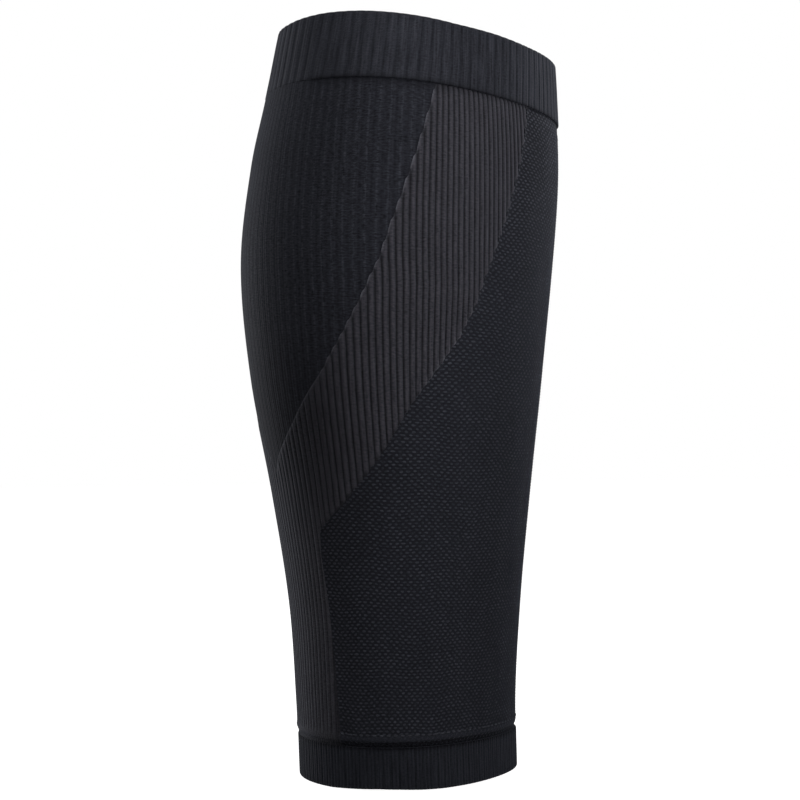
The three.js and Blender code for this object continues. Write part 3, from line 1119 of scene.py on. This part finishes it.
# row of light stitches above the lower crease
hem = {
    "level": 0.0213,
    "stitches": 100,  # in a whole girth
    "length": 0.0016,
    "height": 0.0006,
    "depth": 0.0004,
    "segments": (8, 6),
    "step": 0.001,  # share of the girth over which a stitch's direction is measured
    "margin": 0.004,  # share of the girth left clear beside the strip
    "thread": (0.046, 0.048, 0.057, 1),
    "shade": (0.026, 0.027, 0.033, 1),
    "shadeTones": (0.35, 0.65),
    "patches": 320.0,
    "hairs": 3000.0,
    "hairBump": 0.00006,
    "speckle": 0.5,
    "bump": 0.6,
    "roughness": 0.8,
    "gloss": 0.15,
    "sheen": 0.08,
}


def threadLook():
    material, tree = startMaterial("hemThread")
    fuzz = addFuzz(tree, hem, addNode(tree, "TexCoord").outputs["Object"])
    bright = risingMask(tree, fuzz["Tone"], *hem["shadeTones"])
    colour = mixColour(tree, bright, hem["shade"], hem["thread"])
    tone = toneOf(tree, [(fuzz["Height"], hem["speckle"])])
    finishCloth(tree, hem, colour, tone, fuzz["Height"], [(fuzz["Height"], hem["hairBump"])])
    return material


def makeHemStitches():
    bm = bmesh.new()
    start = shinBorder(hem["level"]) + hem["margin"]
    count = round((1 - 2 * start) * hem["stitches"])
    for share in np.linspace(start, 1 - start, count):
        shares = np.array([share - hem["step"], share + hem["step"], share])
        spots = onLeg(shares, np.full(3, hem["level"]), np.zeros(3))
        along = Vector(spots[1] - spots[0]).normalized()
        out = along.cross(Vector((0, 0, 1))).normalized()
        if out.dot(Vector(spots[2])) < 0:
            out = -out
        up = out.cross(along)
        halves = (along * hem["length"] / 2, up * hem["height"] / 2, out * hem["depth"] / 2)
        turn = Matrix(halves).transposed()
        place = Matrix.Translation(spots[2]) @ turn.to_4x4()
        around, rings = hem["segments"]
        bmesh.ops.create_uvsphere(bm, u_segments=around, v_segments=rings, radius=1, matrix=place)
    bmesh.ops.recalc_face_normals(bm, faces=bm.faces)
    knitPiece(bm, "hemStitches", threadLook(), None)


makeHemStitches()

# white floor and soft studio light
studio = {
    "floorLevel": -0.0014,
    "floorSize": 8.0,
    "floorColour": (0.82, 0.82, 0.82, 1),
    "floorRoughness": 0.9,
    "floorGlow": 1.0,  # seen by the camera only
    "skyLight": 0.10,
    # name, degrees to the right of the camera, distance, height, power, size, spread, height aimed at
    "lamps": [
        ("highKey", 0, 0.30, 0.70, 1.75, 0.5, 180, 0.16),
        ("frontLamp", 40, 0.90, 0.25, 1.75, 0.5, 180, 0.16),
        ("narrowKey", 28, 0.90, 0.50, 0.25, 0.3, 45, 0.34),
        ("narrowSide", 60, 0.90, 0.50, 0.23, 0.3, 45, 0.34),
        ("rightBackLamp", 135, 0.90, 0.60, 0.20, 0.3, 40, 0.38),
        ("leftBackLamp", -131, 0.90, 0.15, 5.3, 0.5, 180, 0.16),
    ],
}


def makeFloor():
    bm = bmesh.new()
    bmesh.ops.create_grid(bm, x_segments=1, y_segments=1, size=studio["floorSize"] / 2)
    bmesh.ops.translate(bm, verts=bm.verts, vec=(0, 0, studio["floorLevel"]))
    data = bpy.data.meshes.new("studioFloor")
    bm.to_mesh(data)
    bm.free()
    floor = bpy.data.objects.new("studioFloor", data)
    scene.collection.objects.link(floor)
    material, tree = startMaterial("floorPaper")
    direct = addNode(tree, "LightPath").outputs["Is Camera Ray"]
    shader = addNode(tree, "BsdfPrincipled", {
        "Base Color": studio["floorColour"],
        "Roughness": studio["floorRoughness"],
        "Emission Color": mixColour(tree, direct, (0, 0, 0, 1), (1, 1, 1, 1)),
        "Emission Strength": studio["floorGlow"],
    })
    addNode(tree, "OutputMaterial", {"Surface": shader.outputs[0]})
    data.materials.append(material)


def makeLight():
    world = bpy.data.worlds.new("whiteStudio")
    scene.world = world
    world.use_nodes = True
    tree = world.node_tree
    tree.nodes.clear()
    seen = addNode(tree, "Background", {"Color": (1, 1, 1, 1), "Strength": 1.0}).outputs[0]
    sky = addNode(tree, "Background", {"Color": (1, 1, 1, 1), "Strength": studio["skyLight"]}).outputs[0]
    direct = addNode(tree, "LightPath").outputs["Is Camera Ray"]
    both = addNode(tree, "MixShader", {0: direct, 1: sky, 2: seen}).outputs[0]
    addNode(tree, "OutputWorld", {"Surface": both})
    heading = math.radians(photoView["heading"])
    away = Vector((math.cos(heading), math.sin(heading), 0))
    right = away.cross(Vector((0, 0, 1)))
    for name, turn, distance, height, power, size, spread, aim in studio["lamps"]:
        data = bpy.data.lights.new(name, "AREA")
        data.size = size
        data.spread = math.radians(spread)
        data.energy = power
        lamp = bpy.data.objects.new(name, data)
        side = right * math.sin(math.radians(turn)) - away * math.cos(math.radians(turn))
        lamp.location = side * distance + Vector((0, 0, height))
        lamp.rotation_euler = (Vector((0, 0, aim)) - lamp.location).to_track_quat("-Z", "Y").to_euler()
        scene.collection.objects.link(lamp)


makeFloor()
makeLight()
scene.view_settings.view_transform = "Standard"
print("floor and light made")
